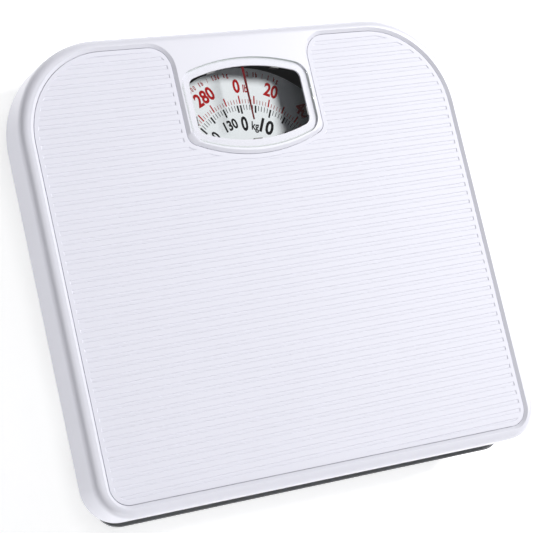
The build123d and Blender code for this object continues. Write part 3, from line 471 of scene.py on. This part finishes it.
def print_kilos():
    """The inner scale: a line every kilogram, a bold one every five and a numeral every ten."""
    line_foot, five_foot, ten_foot = 37.2 * MM, 35.9 * MM, 35.2 * MM
    line_top, five_top = 40.1 * MM, 40.0 * MM
    line_width, five_width = 0.36 * MM, 1.0 * MM
    unit_turn, unit_foot, unit_height, unit_width = radians(12.6), 26.2 * MM, 4.6 * MM, 4.4 * MM
    fine, bold = bmesh.new(), bmesh.new()
    for kilo in range(LAST_KILO):
        if kilo % 5:
            print_tick(fine, kilo * KILO_TURN, line_foot, line_top, line_width)
        else:
            inner = five_foot if kilo % 10 else ten_foot
            print_tick(bold, kilo * KILO_TURN, inner, five_top, five_width)
    for kilo in range(0, LAST_KILO, 10):
        # Three figures are set smaller, in about the width of two.
        foot, height, digit_width = (25.8, 7.6, 4.0) if kilo < 100 else (28.0, 5.4, 2.8)
        print_numeral(bold, kilo, kilo * KILO_TURN, foot * MM, height * MM, digit_width * MM)
    print_text(fine, "kg", unit_turn, unit_foot, unit_height, unit_width, UNIT_WEIGHT)
    finish_piece("kilo_lines", fine, scale_black_thin, "dial")
    finish_piece("kilo_numerals", bold, scale_black, "dial")


print_pounds()
print_kilos()

# ---------------------------------------------------------------- springs
WIRE_SIDES = 10
STEPS_PER_TURN = 20


def draw_rod(shape, radius, length, place):
    """A straight run of wire along the Z of its place, with its middle there."""
    bmesh.ops.create_cone(
        shape,
        cap_ends=True,
        segments=WIRE_SIDES,
        radius1=radius,
        radius2=radius,
        depth=length,
        matrix=place,
    )


def wind_spring(shape, foot, tip, radius, wire, turns, leg):
    """A coil about the line from foot to tip, with a straight leg and a bend at each end."""
    length = (tip - foot).length
    along = (tip - foot).normalized()
    turn_frame = Matrix.Translation(foot) @ along.to_track_quat("Z", "X").to_matrix().to_4x4()
    steps = int(turns * STEPS_PER_TURN)
    section = bmesh.ops.create_circle(
        shape,
        cap_ends=True,
        segments=WIRE_SIDES,
        radius=wire,
        matrix=turn_frame @ Matrix.Translation((radius, 0, leg)) @ Matrix.Rotation(pi / 2, 4, "X"),
    )["verts"]
    bmesh.ops.spin(
        shape,
        geom=list({face for vertex in section for face in vertex.link_faces}),
        cent=foot,
        axis=along,
        dvec=along * (length - 2 * leg) / steps,
        angle=2 * pi * turns,
        steps=steps,
    )
    for start in (0.0, length - leg):
        draw_rod(shape, wire, leg, turn_frame @ Matrix.Translation((0, 0, start + leg / 2)))
    lying = Matrix.Rotation(pi / 2, 4, "Y")
    for height in (leg, length - leg):
        draw_rod(shape, wire, radius, turn_frame @ Matrix.Translation((radius / 2, 0, height)) @ lying)
    bmesh.ops.recalc_face_normals(shape, faces=shape.faces)


def make_spring(node, axis, radius, wire, turns, leg):
    """Replaces a spring's solid with a wound one that stretches between the base and a moving body."""
    low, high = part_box(node)
    foot, tip = middle(node), middle(node)
    foot[axis] = low[axis]
    tip[axis] = high[axis]
    shape = bmesh.new()
    wind_spring(shape, foot, tip, radius, wire, turns, leg)
    spring = finish_piece(node + "_wound", shape, spring_wire, None)
    spring.data.shade_smooth()
    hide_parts(node)
    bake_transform(spring)


Y, Z = 1, 2
make_spring(
    "main_spring", Z, radius=5.3 * MM, wire=0.7 * MM, turns=4.5, leg=5.0 * MM
)
for tie in ("tie_spring_left", "tie_spring_right"):
    make_spring(tie, Z, radius=3.2 * MM, wire=0.45 * MM, turns=11.5, leg=6.0 * MM)
make_spring("rack_spring", Y, radius=1.8 * MM, wire=0.35 * MM, turns=26.5, leg=5.5 * MM)


# ---------------------------------------------------------------- light, floor and camera
LIT_POINT = Vector((0, 0, 0.04))
FLOOR_HALF = 6.0
FLOOR_GLOW = 0.6
AIR_COLOR = (0.93, 0.94, 1.0, 1.0)
AIR_STRENGTH = 0.08


def area_light(name, place, size, watts, lit=None):
    """A round soft light aimed at the scale; where lit is given, flags keep it off everything else."""
    light = bpy.data.lights.new(name, "AREA")
    light.shape = "DISK"
    light.size = size
    light.energy = watts
    lamp = bpy.data.objects.new(name, light)
    bpy.context.scene.collection.objects.link(lamp)
    lamp.location = place
    lamp.rotation_mode = "QUATERNION"
    lamp.rotation_quaternion = (LIT_POINT - Vector(place)).to_track_quat("-Z", "Y")
    if lit:
        flagged = bpy.data.collections.new(name + "_subjects")
        for subject in lit:
            flagged.objects.link(subject)
        lamp.light_linking.receiver_collection = flagged


def lay_floor():
    """White paper that glows a little, as the floor of a light tent does."""
    mesh = bpy.data.meshes.new("studio_floor")
    shape = bmesh.new()
    bmesh.ops.create_grid(shape, x_segments=1, y_segments=1, size=FLOOR_HALF)
    shape.to_mesh(mesh)
    shape.free()
    floor = bpy.data.objects.new("studio_floor", mesh)
    bpy.context.scene.collection.objects.link(floor)
    paper = Finish("studio_paper", (0.93, 0.93, 0.94), roughness=0.9)
    grain = paper.noise(per_metre=30.0)
    paper.set("Base Color", paper.tint(grain, (0.92, 0.92, 0.93), (0.94, 0.94, 0.95)))
    paper.set("Emission Color", (1.0, 1.0, 1.0, 1.0))
    paper.set("Emission Strength", FLOOR_GLOW)
    mesh.materials.append(paper.material)
    return floor


def set_camera():
    """A long lens that looks down at the mat from the left, with the picture turned on the lens axis."""
    aim = Vector((-12.9, -8.2, 50.0)) * MM
    distance = 1.0002
    azimuth, elevation, roll = radians(-73.78), radians(59.33), radians(63.07)
    back = Vector((sin(azimuth) * cos(elevation), -cos(azimuth) * cos(elevation), sin(elevation)))
    lens = bpy.data.cameras.new("studio_camera")
    lens.sensor_width = 36.0
    lens.lens = 128.83
    camera = bpy.data.objects.new("studio_camera", lens)
    bpy.context.scene.collection.objects.link(camera)
    camera.location = aim + back * distance
    camera.rotation_mode = "QUATERNION"
    level = (-back).to_track_quat("-Z", "Y")
    camera.rotation_quaternion = level @ Matrix.Rotation(roll, 3, "Z").to_quaternion()
    bpy.context.scene.camera = camera


def fill_air():
    """A faint, slightly blue light from all sides."""
    world = bpy.data.worlds.new("studio_air")
    world.use_nodes = True
    background = world.node_tree.nodes["Background"]
    background.inputs["Color"].default_value = AIR_COLOR
    background.inputs["Strength"].default_value = AIR_STRENGTH
    bpy.context.scene.world = world


studio_floor = lay_floor()
set_camera()
fill_air()
bpy.context.scene.view_settings.view_transform = "Standard"
shell = [frame["nodes"]["platform_cover"], frame["nodes"]["ribbed_mat"], studio_floor]
area_light("key_lamp", (2.36, 0.68, 2.20), size=1.0, watts=114.0)
area_light("front_lamp", (-0.4, -2.6, 0.68), size=1.0, watts=25.0)
area_light("fill_lamp", (-1.0, 0.3, 2.8), size=1.6, watts=21.0, lit=shell)
